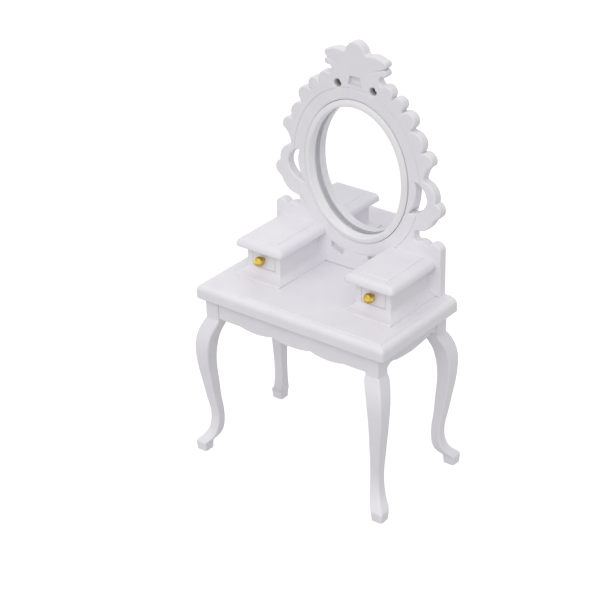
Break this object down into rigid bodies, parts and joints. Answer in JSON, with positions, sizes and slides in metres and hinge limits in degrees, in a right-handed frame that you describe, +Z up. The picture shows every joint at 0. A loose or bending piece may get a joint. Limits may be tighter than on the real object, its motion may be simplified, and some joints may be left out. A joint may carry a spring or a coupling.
{
  "type": "miniature dressing table",
  "caption": "Dolls' house dressing table in white painted wood with cabriole legs, a scroll-cut oval mirror and small drawers with brass knobs that slide out",
  "frame": {"origin": "centre of the footprint on the floor, midway between the outermost toes left to right and front to back", "axes": "+Z up, -Y towards the person seated at the table, +X to that person's right"},
  "size_m": [0.0828, 0.0494, 0.1519],
  "materials": {
    "painted_wood": "satin paint",
    "bare_wood": "bare",
    "brass": "polished",
    "mirror": "polished"
  },
  "bodies": {
    "table": {"tabletop": "painted_wood", "leg_front_left": "painted_wood", "leg_front_right": "painted_wood", "leg_back_left": "painted_wood", "leg_back_right": "painted_wood", "apron_front": "painted_wood", "apron_back": "painted_wood", "apron_left": "painted_wood", "apron_right": "painted_wood", "mirror_board": "painted_wood", "mirror_bezel": "painted_wood", "mirror_glass": "mirror", "mirror_backing": "painted_wood", "mirror_board_dowels": "bare_wood", "left_box_plinth": "painted_wood", "left_box_cap": "painted_wood", "left_box_outer_side": "painted_wood", "left_box_inner_side": "painted_wood", "left_box_back": "painted_wood", "right_box_plinth": "painted_wood", "right_box_cap": "painted_wood", "right_box_outer_side": "painted_wood", "right_box_inner_side": "painted_wood", "right_box_back": "painted_wood"},
    "drawer_left": {"left_drawer_front": "painted_wood", "left_drawer_knob": "brass", "left_drawer_side_left": "painted_wood", "left_drawer_side_right": "painted_wood", "left_drawer_back": "painted_wood", "left_drawer_bottom": "painted_wood"},
    "drawer_right": {"right_drawer_front": "painted_wood", "right_drawer_knob": "brass", "right_drawer_side_left": "painted_wood", "right_drawer_side_right": "painted_wood", "right_drawer_back": "painted_wood", "right_drawer_bottom": "painted_wood"}
  },
  "joints": [
    {"name": "left_drawer_slide", "type": "slide", "parent": "table", "child": "drawer_left", "axis": [0, -1, 0], "range_m": [0, 0.016]},
    {"name": "right_drawer_slide", "type": "slide", "parent": "table", "child": "drawer_right", "axis": [0, -1, 0], "range_m": [0, 0.016]}
  ]
}
